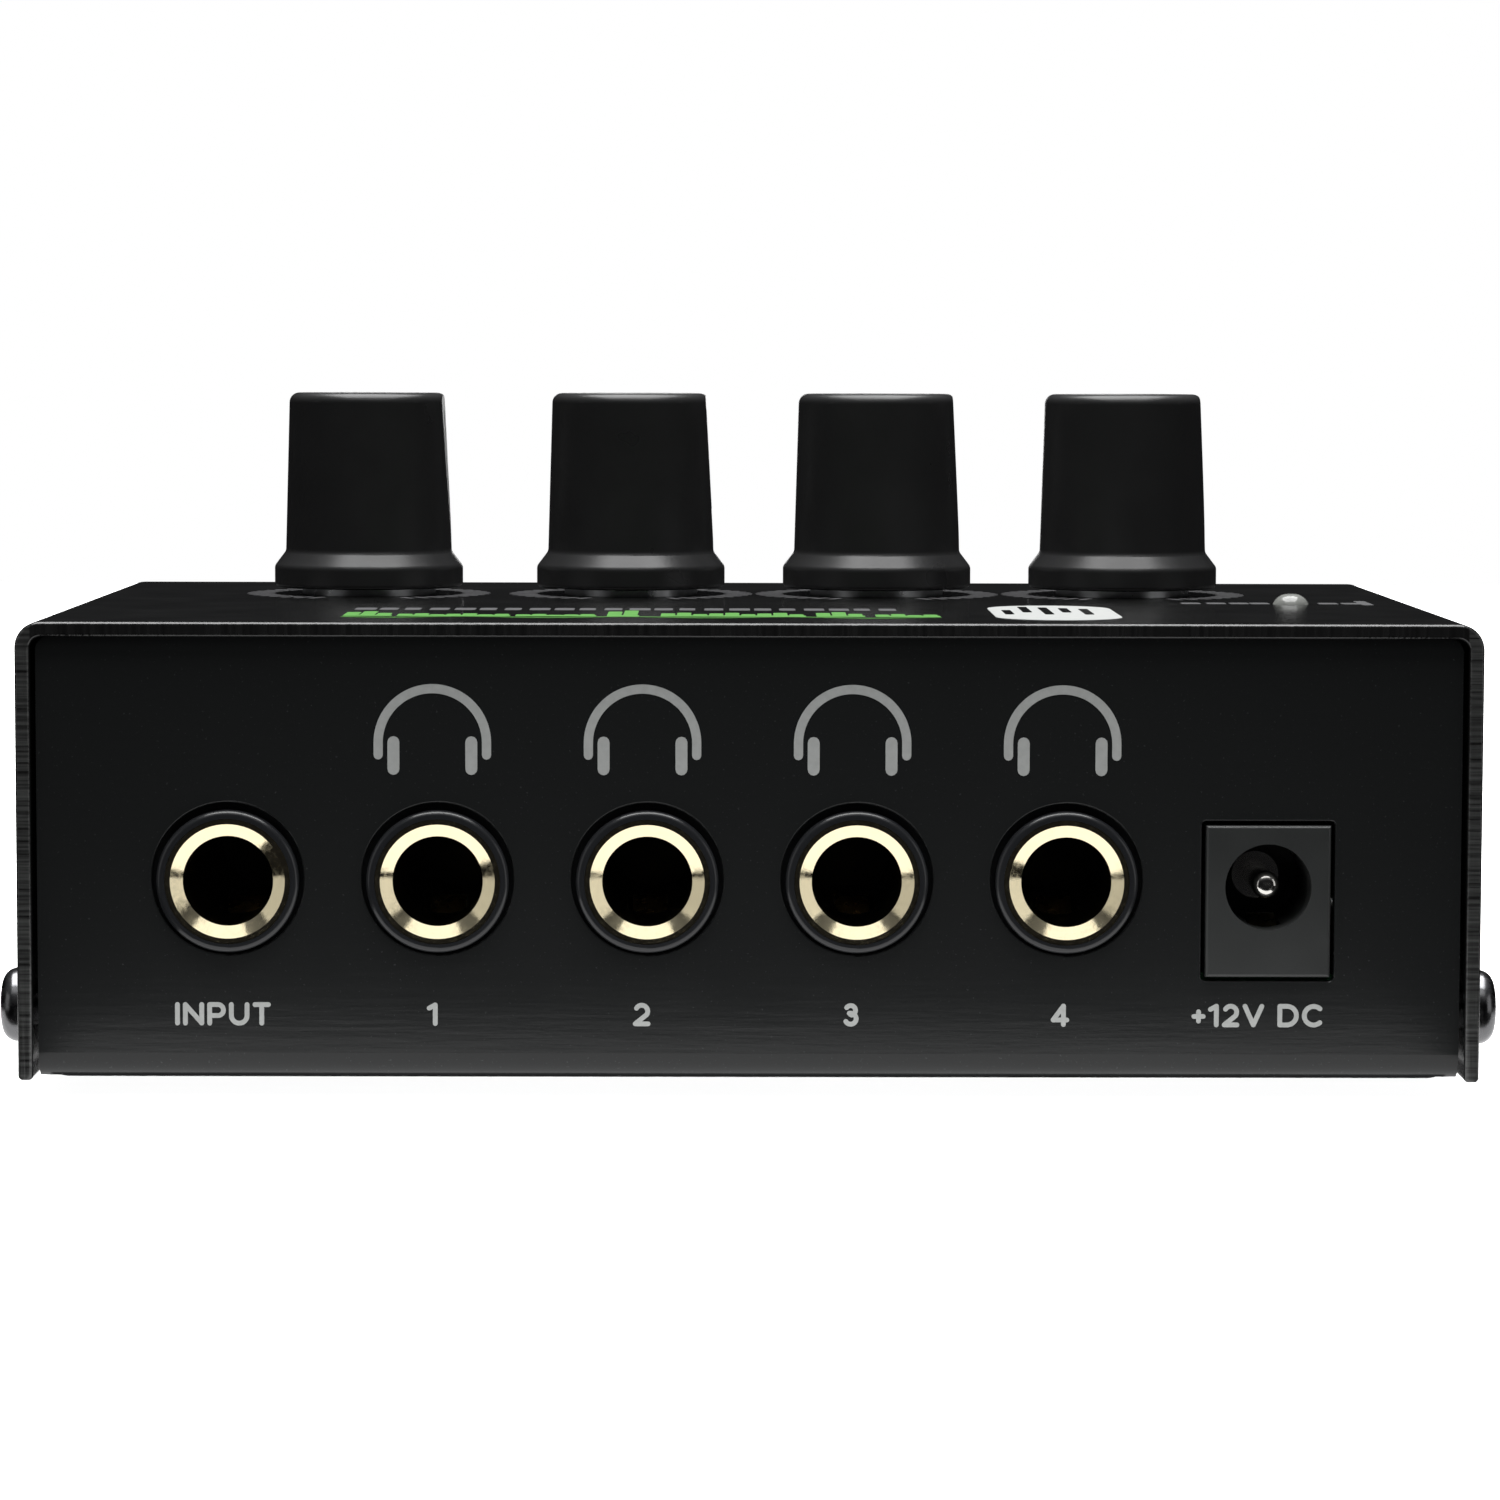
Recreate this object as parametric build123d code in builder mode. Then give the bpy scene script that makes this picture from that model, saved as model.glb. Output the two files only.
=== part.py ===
from build123d import *

import os

# Four-channel stereo headphone amplifier in a folded steel case. Millimetres.
# +X is to the right when the jack panel faces the viewer, +Y runs from the jack panel to the
# side where the user stands, +Z is up. The origin is on the table, under the case's centre.

os.makedirs("parts", exist_ok=True)

# Case: a U-shaped cover (top and two flanges) over a U-shaped chassis (floor and two panels)
case_width = 106.6
case_height = 33.5
case_depth = 65.0
cover_sheet = 1.1
cover_bend = 1.9  # outer radius of the cover's folds
chassis_sheet = 1.0
chassis_bend = 2.0  # outer radius of the chassis's folds
sheet_edge = 0.35  # rounding on the sheared lower edges of the cover
sheet_round = 0.25  # rounding round the cover's open front and back ends
hole_round = 0.15  # rounding on the jack panel's holes
panel_recess = 0.6  # each panel behind the cover's edge
side_gap = 0.35  # between the chassis and each flange
panel_corner = 1.0  # rounding of the panels' upper corners, inside the cover's folds

# Feet
foot_height = 1.5
foot_r = 4.0
foot_top_r = 3.6
foot_x = 42.0
foot_y = 15.0

# Screws and their threads
screw_r = 1.5
screw_hole_gap = 0.15  # radial, around a screw that passes through
screw_head_rim = 1.25  # of the head around the shank
screw_head_height = 2.0
screw_dome = 1.1  # rounding of the head's rim
screw_point = 0.3  # chamfer at the shank's end
recess_width = 0.7  # one arm of the cross recess
recess_span = 3.0
recess_depth = 1.1
thread_gap = 0.02  # radial, between a thread and the hole it is screwed into
fit_gap = 0.03  # radial, between two pieces pushed together
cover_screw_length = 6.0
cover_screw_inset = 7.0  # from the cover's front and back edges
cover_screw_height = 4.7  # above the case's underside
board_screw_length = 5.0

# Tabs folded up from the chassis's floor, with clinch nuts for the cover's screws
tab_width = 9.0
tab_height = 9.0
tab_relief = 0.8
clinch_nut_wall = 1.28
clinch_nut_thickness = 2.0

# Main board and its standoffs
board_thickness = 1.6
board_rise = 6.1  # main board's underside above the case's underside
board_side_gap = 5.35  # to the chassis's sides, clear of the clinch nuts
board_back_gap = 1.9  # to the back panel
board_front_gap = 0.4  # behind the jack panel
standoff_r = 2.6
standoff_spigot_r = 2.1
standoff_places = ((-43.0, 3.2), (-42.5, 25.5), (42.5, -9.0), (42.5, 25.5))
lead_tail = 1.2  # soldered end of each lead below its board
lead_r = 0.3
lead_hole_r = 0.45
pin_hole_r = 0.55  # for square pins

# 6.35 mm jacks: one input and four outputs
jack_names = ("input", "1", "2", "3", "4")
jack_first_x = -37.98
jack_pitch = 15.27
jack_axis_rise = 6.9  # above the main board
jack_width = 14.4
jack_height = 13.8
jack_length = 32.6  # from the nose's front face to the back
plug_hole_r = 3.29
mouth_flare = 0.89  # how much wider the mouth is than the hole, on the radius
mouth_depth = 0.51
ring_width = 0.37  # flat ring round the chamfer
ring_recess = 0.15  # behind the nose's front face
ring_thickness = 1.0
barrel_wall = 0.66
barrel_length = 9.0
plug_way_gap = 0.26  # radial, behind the barrel
plug_depth = 31.4
nose_rim = 0.65  # plastic round the ring
nose_edge = 0.4
nose_proud = 0.5  # in front of the panel
panel_hole_gap = 0.35  # radial, round the nose
panel_hole_rise = 0.2  # of the hole's centre above the jack's axis
body_gap = 0.2  # between a connector's body and the panel's inner face
lug_width = 2.0
lug_thickness = 0.5
lug_gap = 0.15
leaf_thickness = 0.4
leaf_width = 2.6
leaf_bend = 0.6
chamber_width = 3.4
tip_leaf_front = 13.0
tip_leaf_rest = 4.9  # height above the axis of the leaf's straight part
ring_leaf_front = 12.0
ring_leaf_rest = -4.9
ring_leaf_tail = 22.5
strap_gap = 0.6  # behind the jack's back wall

# DC inlet
dc_x = 37.8
dc_axis_rise = 6.6
dc_width = 9.1
dc_height = 11.1
dc_length = 14.4
dc_flange = 3.4
dc_proud = 0.3
dc_opening_gap = 0.3
dc_bore_r = 3.15
dc_bore_depth = 9.6
dc_barrel_r = 4.4
dc_edge = 0.25  # rounding on the flange's front edges
dc_pin_r = 1.0
dc_pin_tail_r = 0.75  # where it goes through the housing's back wall
dc_pin_recess = 1.2
dc_pin_collar_r = 1.75
dc_pin_collar = 0.4
dc_leaf_width = 2.0

# Level controls: potentiometers hung from the cover by their bushings
knob_x = (-30.8, -9.5, 10.5, 30.5)
knob_y = 12.0
bushing_wall = 0.45
bushing_length = 5.0
bushing_hole_gap = 0.1
washer_rim = 1.9
washer_thickness = 0.5
nut_wall = 1.5  # from the thread to a flat
nut_thickness = 2.0
pot_plate_x = 10.6
pot_plate_y = 11.6
pot_plate_thickness = 0.8
pot_arm_thickness = 0.5
pot_arm_width = 6.0
pot_arm_length = 8.5
pot_body_x = 9.5
pot_body_y = 11.4
pot_body_height = 10.6
pot_floor = 1.2
rotor_r = 3.9
rotor_gap = 0.3
rotor_thickness = 1.0
rotor_hub_r = 2.4
rotor_end_play = 0.12
terminal_width = 0.8
terminal_thickness = 0.4
terminal_pitch = 2.5
shaft_r = 3.0
shaft_running_gap = 0.05
shaft_flat = 1.5  # from the shaft's axis to its flat
shaft_flat_start = 4.6  # above the cover
shaft_top = 13.6  # above the cover

# Knobs, heights above the cover
knob_top = 16.3
knob_bottom = 0.6
cap_top_r = 6.36
cap_base_r = 6.72
cap_edge = 0.8
flare_top = 3.5
flare_bottom = 2.3
flare_round = 0.6
skirt_r = 7.63
skirt_edge = 0.35
skirt_inner_r = 6.5
nut_space_top = 3.1
cap_inner_r = 5.3
cap_roof = 1.5
hub_r = 4.1
hub_bottom = 5.2
pointer_top_x = 6.05  # the pointer's flat, from the knob's axis at the top
pointer_base = 3.95

# Board that carries the potentiometers
pot_board_front = 5.0
pot_board_back = 27.5
pot_board_width = 84.0

# Parts on the main board
chip_y = 10.5
chip_length = 9.8
chip_width = 6.4
chip_height = 3.3
chip_lift = 0.5
chip_row = 7.62
chip_pitch = 2.54
chip_leg = 0.4
capacitor_y = 19.0
capacitor_r = 3.15
capacitor_height = 8.0
capacitor_spread = 3.7
capacitor_pitch = 2.5
reservoir_places = ((35.4, -12.6), (35.4, -4.7))
reservoir_r = 3.7
reservoir_height = 16.0
resistor_y = 23.9
resistor_r = 1.15
resistor_length = 6.3
resistor_span = 10.16
resistor_spread = 2.7
regulator_x = 35.6
regulator_y = 2.1
regulator_width = 10.0
regulator_body = 9.0
regulator_tab = 6.5
regulator_depth = 4.5
regulator_tab_depth = 1.3
regulator_lift = 3.0
regulator_pitch = 2.54
led_x = 42.6
led_y = -2.5
led_r = 1.5
led_flange_r = 1.9
led_flange = 1.0
led_length = 4.6
led_hole_gap = 0.1
led_lead_pitch = 2.54
spacer_wall = 0.8
link_x = 39.3
link_y = 14.4
link_pins = 6  # in each of two rows
link_pitch = 2.54
link_pin = 0.64
link_block = 2.5

# Sizes that follow from those above
screw_hole_r = screw_r + screw_hole_gap
screw_head_r = screw_r + screw_head_rim
clinch_nut_r = screw_r + thread_gap + clinch_nut_wall
barrel_r = plug_hole_r + barrel_wall
mouth_r = plug_hole_r + mouth_flare
ring_r = mouth_r + ring_width
nose_r = ring_r + nose_rim
panel_hole_r = nose_r + panel_hole_gap
plug_way_r = plug_hole_r + plug_way_gap
bushing_r = shaft_r + shaft_running_gap + bushing_wall
nut_flat_r = bushing_r + nut_wall
washer_r = bushing_r + washer_rim
rotor_space_r = rotor_r + rotor_gap
spacer_r = led_r + spacer_wall

# Levels and planes
base_z = foot_height
top_z = base_z + case_height
ceiling_z = top_z - cover_sheet
floor_z = base_z + chassis_sheet
front_y = -case_depth / 2
panel_y = front_y + panel_recess
panel_inner_y = panel_y + chassis_sheet
chassis_width = case_width - 2 * (cover_sheet + side_gap)
board_width = chassis_width - 2 * board_side_gap
board_back = -panel_inner_y - board_back_gap
board_bottom = base_z + board_rise
board_top = board_bottom + board_thickness
tail_z = board_bottom - lead_tail
screw_z = base_z + cover_screw_height
screw_y = case_depth / 2 - cover_screw_inset
jack_z = board_top + jack_axis_rise
jack_xs = [jack_first_x + jack_pitch * i for i in range(len(jack_names))]
nose_y = panel_y - nose_proud
jack_body_y = panel_inner_y + body_gap
jack_back_y = nose_y + jack_length
barrel_end_y = nose_y + barrel_length
strap_y = jack_back_y + strap_gap + leaf_thickness / 2
ring_tail_y = nose_y + ring_leaf_tail
dc_z = board_top + dc_axis_rise
dc_face_y = panel_y - dc_proud
dc_tab_y = dc_face_y + dc_length + lug_gap + lug_thickness / 2
dc_leaf_y = dc_face_y + 8.4
pot_plate_z = ceiling_z - pot_plate_thickness
pot_body_z = pot_plate_z - pot_body_height
pot_board_z = pot_body_z - board_thickness
led_base_z = top_z + 0.8 - led_length - led_flange


def pan_screw(length):
    """Pan-head screw with a cross recess: seat at the origin, head up, shank down."""
    with BuildPart() as screw:
        with BuildSketch(Plane.XZ):
            with BuildLine():
                FilletPolyline(
                    (0, screw_head_height),
                    (screw_head_r, screw_head_height),
                    (screw_head_r, 0),
                    radius=screw_dome,
                )
                Polyline(
                    (screw_head_r, 0),
                    (screw_r, 0),
                    (screw_r, screw_point - length),
                    (screw_r - screw_point, -length),
                    (0, -length),
                    (0, screw_head_height),
                )
            make_face()
        revolve(axis=Axis.Z)
        with BuildSketch(Plane.XY.offset(screw_head_height)):
            Rectangle(recess_span, recess_width)
            Rectangle(recess_width, recess_span)
        extrude(amount=-recess_depth, mode=Mode.SUBTRACT)
    return screw.part


def leaf(x, width, path):
    """Bent strip of sheet: a path in a YZ plane, as thick as the sheet, centred on x."""
    with BuildPart() as strip:
        with BuildSketch(Plane.YZ.offset(x - width / 2)):
            with BuildLine():
                FilletPolyline(*path, radius=leaf_bend)
            trace(line_width=leaf_thickness)
        extrude(amount=width)
    return strip.part


# Cover

with BuildPart() as top_cover:
    with BuildSketch(Plane.XZ.offset(-case_depth / 2)) as section:
        with Locations((0, base_z)):
            Rectangle(case_width, case_height, align=(Align.CENTER, Align.MIN))
        fillet(section.vertices().group_by(Axis.Y)[-1], cover_bend)
        with Locations((0, base_z)):
            inner_width = case_width - 2 * cover_sheet
            inner_height = case_height - cover_sheet
            Rectangle(inner_width, inner_height, align=(Align.CENTER, Align.MIN), mode=Mode.SUBTRACT)
        fillet(section.vertices().group_by(Axis.Y)[-2], cover_bend - cover_sheet)
        fillet(section.vertices().group_by(Axis.Y)[0], sheet_edge)
    extrude(amount=case_depth)
    with BuildSketch(Plane.XY.offset(top_z)):
        with Locations(*[(x, knob_y) for x in knob_x]):
            Circle(bushing_r + bushing_hole_gap)
        with Locations((led_x, led_y)):
            Circle(led_r + led_hole_gap)
    extrude(amount=-cover_sheet, mode=Mode.SUBTRACT)
    with BuildSketch(Plane.YZ.offset(-case_width / 2)):
        with Locations((-screw_y, screw_z), (screw_y, screw_z)):
            Circle(screw_hole_r)
    extrude(amount=case_width, mode=Mode.SUBTRACT)
    fillet(top_cover.faces().sort_by(Axis.Y)[0].edges(), sheet_round)
    fillet(top_cover.faces().sort_by(Axis.Y)[-1].edges(), sheet_round)
top_cover.part.label = "top_cover"
export_step(top_cover.part, "parts/top_cover.step")

# Chassis

with BuildPart() as base_chassis:
    panel_height = ceiling_z - base_z
    panel_span = case_depth - 2 * panel_recess
    with BuildSketch(Plane.YZ.offset(-chassis_width / 2)) as section:
        with Locations((0, base_z)):
            Rectangle(panel_span, panel_height, align=(Align.CENTER, Align.MIN))
        fillet(section.vertices().group_by(Axis.Y)[0], chassis_bend)
        with Locations((0, floor_z)):
            Rectangle(
                panel_span - 2 * chassis_sheet,
                panel_height,
                align=(Align.CENTER, Align.MIN),
                mode=Mode.SUBTRACT,
            )
        inner_corners = section.vertices().filter_by_position(Axis.Y, floor_z - 0.01, floor_z + 0.01)
        fillet(inner_corners, chassis_bend - chassis_sheet)
    extrude(amount=chassis_width)
    fillet(base_chassis.edges().filter_by(Axis.Y).group_by(Axis.Z)[-1], panel_corner)
    # the four tabs: a notch in the floor's edge, then the folded tab in it
    with BuildSketch(Plane.XY.offset(base_z)):
        for side in (-1, 1):
            with Locations((side * (chassis_width / 2 - chassis_bend / 2), -screw_y)):
                Rectangle(chassis_bend, tab_width + 2 * tab_relief)
            with Locations((side * (chassis_width / 2 - chassis_bend / 2), screw_y)):
                Rectangle(chassis_bend, tab_width + 2 * tab_relief)
    extrude(amount=chassis_sheet, mode=Mode.SUBTRACT)
    for end_y in (-screw_y, screw_y):
        with BuildSketch(Plane.XZ.offset(-end_y)) as fold:
            with Locations((0, base_z)):
                Rectangle(chassis_width, tab_height, align=(Align.CENTER, Align.MIN))
            fillet(fold.vertices().group_by(Axis.Y)[0], chassis_bend)
            with Locations((0, floor_z)):
                Rectangle(
                    chassis_width - 2 * chassis_sheet,
                    tab_height,
                    align=(Align.CENTER, Align.MIN),
                    mode=Mode.SUBTRACT,
                )
            inner_corners = fold.vertices().filter_by_position(Axis.Y, floor_z - 0.01, floor_z + 0.01)
            fillet(inner_corners, chassis_bend - chassis_sheet)
        extrude(amount=tab_width / 2, both=True)
    with BuildSketch(Plane.YZ.offset(-chassis_width / 2)):
        with Locations((-screw_y, screw_z), (screw_y, screw_z)):
            Circle(screw_hole_r)
    extrude(amount=chassis_width, mode=Mode.SUBTRACT)
    # jack holes and the DC inlet's opening, through the jack panel
    with BuildSketch(Plane.XZ.offset(-panel_y)):
        with Locations(*[(x, jack_z + panel_hole_rise) for x in jack_xs]):
            Circle(panel_hole_r)
        with Locations((dc_x, board_top + dc_height / 2)):
            opening_width = dc_width + 2 * dc_opening_gap
            opening_height = dc_height + 2 * dc_opening_gap
            RectangleRounded(opening_width, opening_height, dc_opening_gap)
    extrude(amount=-chassis_sheet, mode=Mode.SUBTRACT)
    fillet(base_chassis.faces().sort_by(Axis.Y)[0].inner_wires().edges(), hole_round)
    with BuildSketch(Plane.XY.offset(base_z)):
        with Locations(*standoff_places):
            Circle(standoff_spigot_r + fit_gap)
    extrude(amount=chassis_sheet, mode=Mode.SUBTRACT)
base_chassis.part.label = "base_chassis"
export_step(base_chassis.part, "parts/base_chassis.step")

# Cover screws and the clinch nuts that take them, two a side

side_planes = []
for side in (-1, 1):
    for end_y in (-screw_y, screw_y):
        seat = (side * case_width / 2, end_y, screw_z)
        side_planes.append(Plane(origin=seat, x_dir=(0, 1, 0), z_dir=(side, 0, 0)))

cover_screw = pan_screw(cover_screw_length)
with BuildPart() as cover_screws:
    with Locations(*side_planes):
        add(cover_screw)
cover_screws.part.label = "cover_screws"
export_step(cover_screws.part, "parts/cover_screws.step")

with BuildPart() as clinch_nuts:
    nut_depth = cover_sheet + side_gap + chassis_sheet
    for plane in side_planes:
        with BuildSketch(plane.offset(-nut_depth)):
            Circle(clinch_nut_r)
            Circle(screw_r + thread_gap, mode=Mode.SUBTRACT)
        extrude(amount=-clinch_nut_thickness)
clinch_nuts.part.label = "clinch_nuts"
export_step(clinch_nuts.part, "parts/clinch_nuts.step")

# Feet

foot_places = {
    "foot_front_left": (-foot_x, -foot_y),
    "foot_front_right": (foot_x, -foot_y),
    "foot_back_left": (-foot_x, foot_y),
    "foot_back_right": (foot_x, foot_y),
}
for name, place in foot_places.items():
    with BuildPart() as foot:
        with BuildSketch(Plane.XY):
            with Locations(place):
                Circle(foot_top_r)
        with BuildSketch(Plane.XY.offset(foot_height)):
            with Locations(place):
                Circle(foot_r)
        loft()
    foot.part.label = name
    export_step(foot.part, f"parts/{name}.step")

# Jacks

for name, x in zip(jack_names, jack_xs):
    with BuildPart() as jack_housing:
        with BuildSketch(Plane.XY.offset(board_top)):
            with Locations((x, jack_body_y)):
                Rectangle(jack_width, jack_back_y - jack_body_y, align=(Align.CENTER, Align.MIN))
        extrude(amount=jack_height)
        chamfer(jack_housing.edges().filter_by(Axis.Y).group_by(Axis.Z)[-1], 0.8)
        with BuildSketch(Plane.XZ.offset(-jack_body_y)):
            with Locations((x, jack_z)):
                Circle(nose_r)
        extrude(amount=jack_body_y - nose_y)
        fillet(jack_housing.edges().filter_by(GeomType.CIRCLE).sort_by(Axis.Y)[0], nose_edge)
        # stepped bore: ring seat, barrel seat, then the way for the plug
        steps = (
            (ring_r + fit_gap, ring_recess + ring_thickness + fit_gap),
            (barrel_r + fit_gap, barrel_length + fit_gap),
            (plug_way_r, plug_depth),
        )
        for radius, depth in steps:
            with BuildSketch(Plane.XZ.offset(-nose_y)):
                with Locations((x, jack_z)):
                    Circle(radius)
            extrude(amount=-depth, mode=Mode.SUBTRACT)
        # slots for the barrel's lug and the ring leaf, open underneath
        with BuildSketch(Plane.XY.offset(board_top)):
            with Locations((x, barrel_end_y - lug_thickness / 2)):
                Rectangle(lug_width + 2 * lug_gap, lug_thickness + 2 * lug_gap)
            with Locations((x, nose_y + ring_leaf_front - 1)):
                ring_slot = ring_leaf_tail - ring_leaf_front + 2
                Rectangle(chamber_width, ring_slot, align=(Align.CENTER, Align.MIN))
        extrude(amount=jack_axis_rise, mode=Mode.SUBTRACT)
        # chamber for the tip leaf, which leaves through a slot in the back wall
        with BuildSketch(Plane.XZ.offset(-(nose_y + tip_leaf_front - 1))):
            with Locations((x, jack_z)):
                chamber_height = tip_leaf_rest + leaf_thickness / 2 + lug_gap
                Rectangle(chamber_width, chamber_height, align=(Align.CENTER, Align.MIN))
        extrude(amount=-(plug_depth - tip_leaf_front + 1), mode=Mode.SUBTRACT)
        with BuildSketch(Plane.XZ.offset(-(nose_y + plug_depth))):
            with Locations((x, jack_z + tip_leaf_rest)):
                Rectangle(leaf_width + 2 * lug_gap, leaf_thickness + 2 * lug_gap)
        extrude(amount=-(jack_length - plug_depth), mode=Mode.SUBTRACT)
    jack_housing.part.label = f"jack_housing_{name}"
    export_step(jack_housing.part, f"parts/jack_housing_{name}.step")

    with BuildPart() as jack_sleeve:
        mouth_y = nose_y + ring_recess
        throat_y = mouth_y + mouth_depth
        with BuildSketch(Plane.YZ.offset(x)):
            with BuildLine():
                Polyline(
                    (mouth_y, jack_z + mouth_r),
                    (throat_y, jack_z + plug_hole_r),
                    (barrel_end_y, jack_z + plug_hole_r),
                    (barrel_end_y, jack_z + barrel_r),
                    (mouth_y + ring_thickness, jack_z + barrel_r),
                    (mouth_y + ring_thickness, jack_z + ring_r),
                    (mouth_y, jack_z + ring_r),
                    close=True,
                )
            make_face()
        revolve(axis=Axis((x, 0, jack_z), (0, 1, 0)))
        with BuildSketch(Plane.XY.offset(tail_z)):
            with Locations((x, barrel_end_y - lug_thickness / 2)):
                Rectangle(lug_width, lug_thickness)
        extrude(amount=jack_z - (plug_hole_r + barrel_r) / 2 - tail_z)
    jack_sleeve.part.label = f"jack_sleeve_{name}"
    export_step(jack_sleeve.part, f"parts/jack_sleeve_{name}.step")

    tip_path = (
        (nose_y + tip_leaf_front, jack_z + 4.3),
        (nose_y + tip_leaf_front + 4, jack_z + 2.6),
        (nose_y + tip_leaf_front + 9, jack_z + tip_leaf_rest),
        (strap_y, jack_z + tip_leaf_rest),
        (strap_y, tail_z),
    )
    ring_path = (
        (nose_y + ring_leaf_front, jack_z - 4.4),
        (nose_y + ring_leaf_front + 3.5, jack_z - 2.7),
        (nose_y + ring_leaf_front + 7, jack_z + ring_leaf_rest),
        (ring_tail_y, jack_z + ring_leaf_rest),
        (ring_tail_y, tail_z),
    )
    tip_leaf = leaf(x, leaf_width, tip_path)
    ring_leaf = leaf(x, leaf_width, ring_path)
    with BuildPart() as jack_contacts:
        add(tip_leaf)
        add(ring_leaf)
    jack_contacts.part.label = f"jack_contacts_{name}"
    export_step(jack_contacts.part, f"parts/jack_contacts_{name}.step")

# DC inlet

with BuildPart() as dc_inlet_housing:
    with BuildSketch(Plane.XZ.offset(-dc_face_y)):
        with Locations((dc_x, board_top)):
            Rectangle(dc_width, dc_height, align=(Align.CENTER, Align.MIN))
    extrude(amount=-dc_flange)
    fillet(dc_inlet_housing.faces().sort_by(Axis.Y)[0].edges(), dc_edge)
    with BuildSketch(Plane.XZ.offset(-(dc_face_y + dc_flange))):
        with Locations((dc_x, board_top)):
            Rectangle(dc_width, dc_axis_rise, align=(Align.CENTER, Align.MIN))
        with Locations((dc_x, dc_z)):
            Circle(dc_barrel_r)
    extrude(amount=-(dc_length - dc_flange))
    with BuildSketch(Plane.XZ.offset(-dc_face_y)):
        with Locations((dc_x, dc_z)):
            Circle(dc_bore_r)
    extrude(amount=-dc_bore_depth, mode=Mode.SUBTRACT)
    with BuildSketch(Plane.XZ.offset(-dc_face_y)):
        with Locations((dc_x, dc_z)):
            Circle(dc_pin_tail_r + fit_gap)
    extrude(amount=-dc_length, mode=Mode.SUBTRACT)
    # slot for the sleeve leaf, open underneath
    with BuildSketch(Plane.XY.offset(board_top)):
        with Locations((dc_x, dc_face_y + 2.4)):
            Rectangle(dc_leaf_width + 0.4, 6.6, align=(Align.CENTER, Align.MIN))
    extrude(amount=dc_axis_rise - dc_pin_collar_r - 0.4, mode=Mode.SUBTRACT)
dc_inlet_housing.part.label = "dc_inlet_housing"
export_step(dc_inlet_housing.part, "parts/dc_inlet_housing.step")

with BuildPart() as dc_inlet_pin:
    pin_seat_y = dc_face_y + dc_bore_depth
    pin_end_y = dc_tab_y + lug_thickness / 2
    with BuildSketch(Plane.XZ.offset(-pin_seat_y)):
        with Locations((dc_x, dc_z)):
            Circle(dc_pin_r)
    extrude(amount=dc_bore_depth - dc_pin_recess)
    fillet(dc_inlet_pin.edges().sort_by(Axis.Y)[0], dc_pin_r * 0.7)
    with BuildSketch(Plane.XZ.offset(-pin_seat_y)):
        with Locations((dc_x, dc_z)):
            Circle(dc_pin_collar_r)
    extrude(amount=dc_pin_collar)
    with BuildSketch(Plane.XZ.offset(-pin_seat_y)):
        with Locations((dc_x, dc_z)):
            Circle(dc_pin_tail_r)
    extrude(amount=pin_seat_y - pin_end_y)
    with BuildSketch(Plane.XY.offset(tail_z)):
        with Locations((dc_x, dc_tab_y)):
            Rectangle(lug_width, lug_thickness)
    extrude(amount=dc_z + dc_pin_r - tail_z)
dc_inlet_pin.part.label = "dc_inlet_pin"
export_step(dc_inlet_pin.part, "parts/dc_inlet_pin.step")

sleeve_path = (
    (dc_face_y + 2.9, dc_z - 3.5),
    (dc_face_y + 5.6, dc_z - 2.6),
    (dc_leaf_y, dc_z - 4.2),
    (dc_leaf_y, tail_z),
)
sleeve_leaf = leaf(dc_x, dc_leaf_width, sleeve_path)
with BuildPart() as dc_inlet_contact:
    add(sleeve_leaf)
dc_inlet_contact.part.label = "dc_inlet_contact"
export_step(dc_inlet_contact.part, "parts/dc_inlet_contact.step")

# Level controls

rotor_floor_z = pot_body_z + pot_floor
terminal_places = []
for row in (-1, 1):
    for column in (-1, 0, 1):
        terminal_places.append((column * terminal_pitch, row * terminal_pitch))

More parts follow.
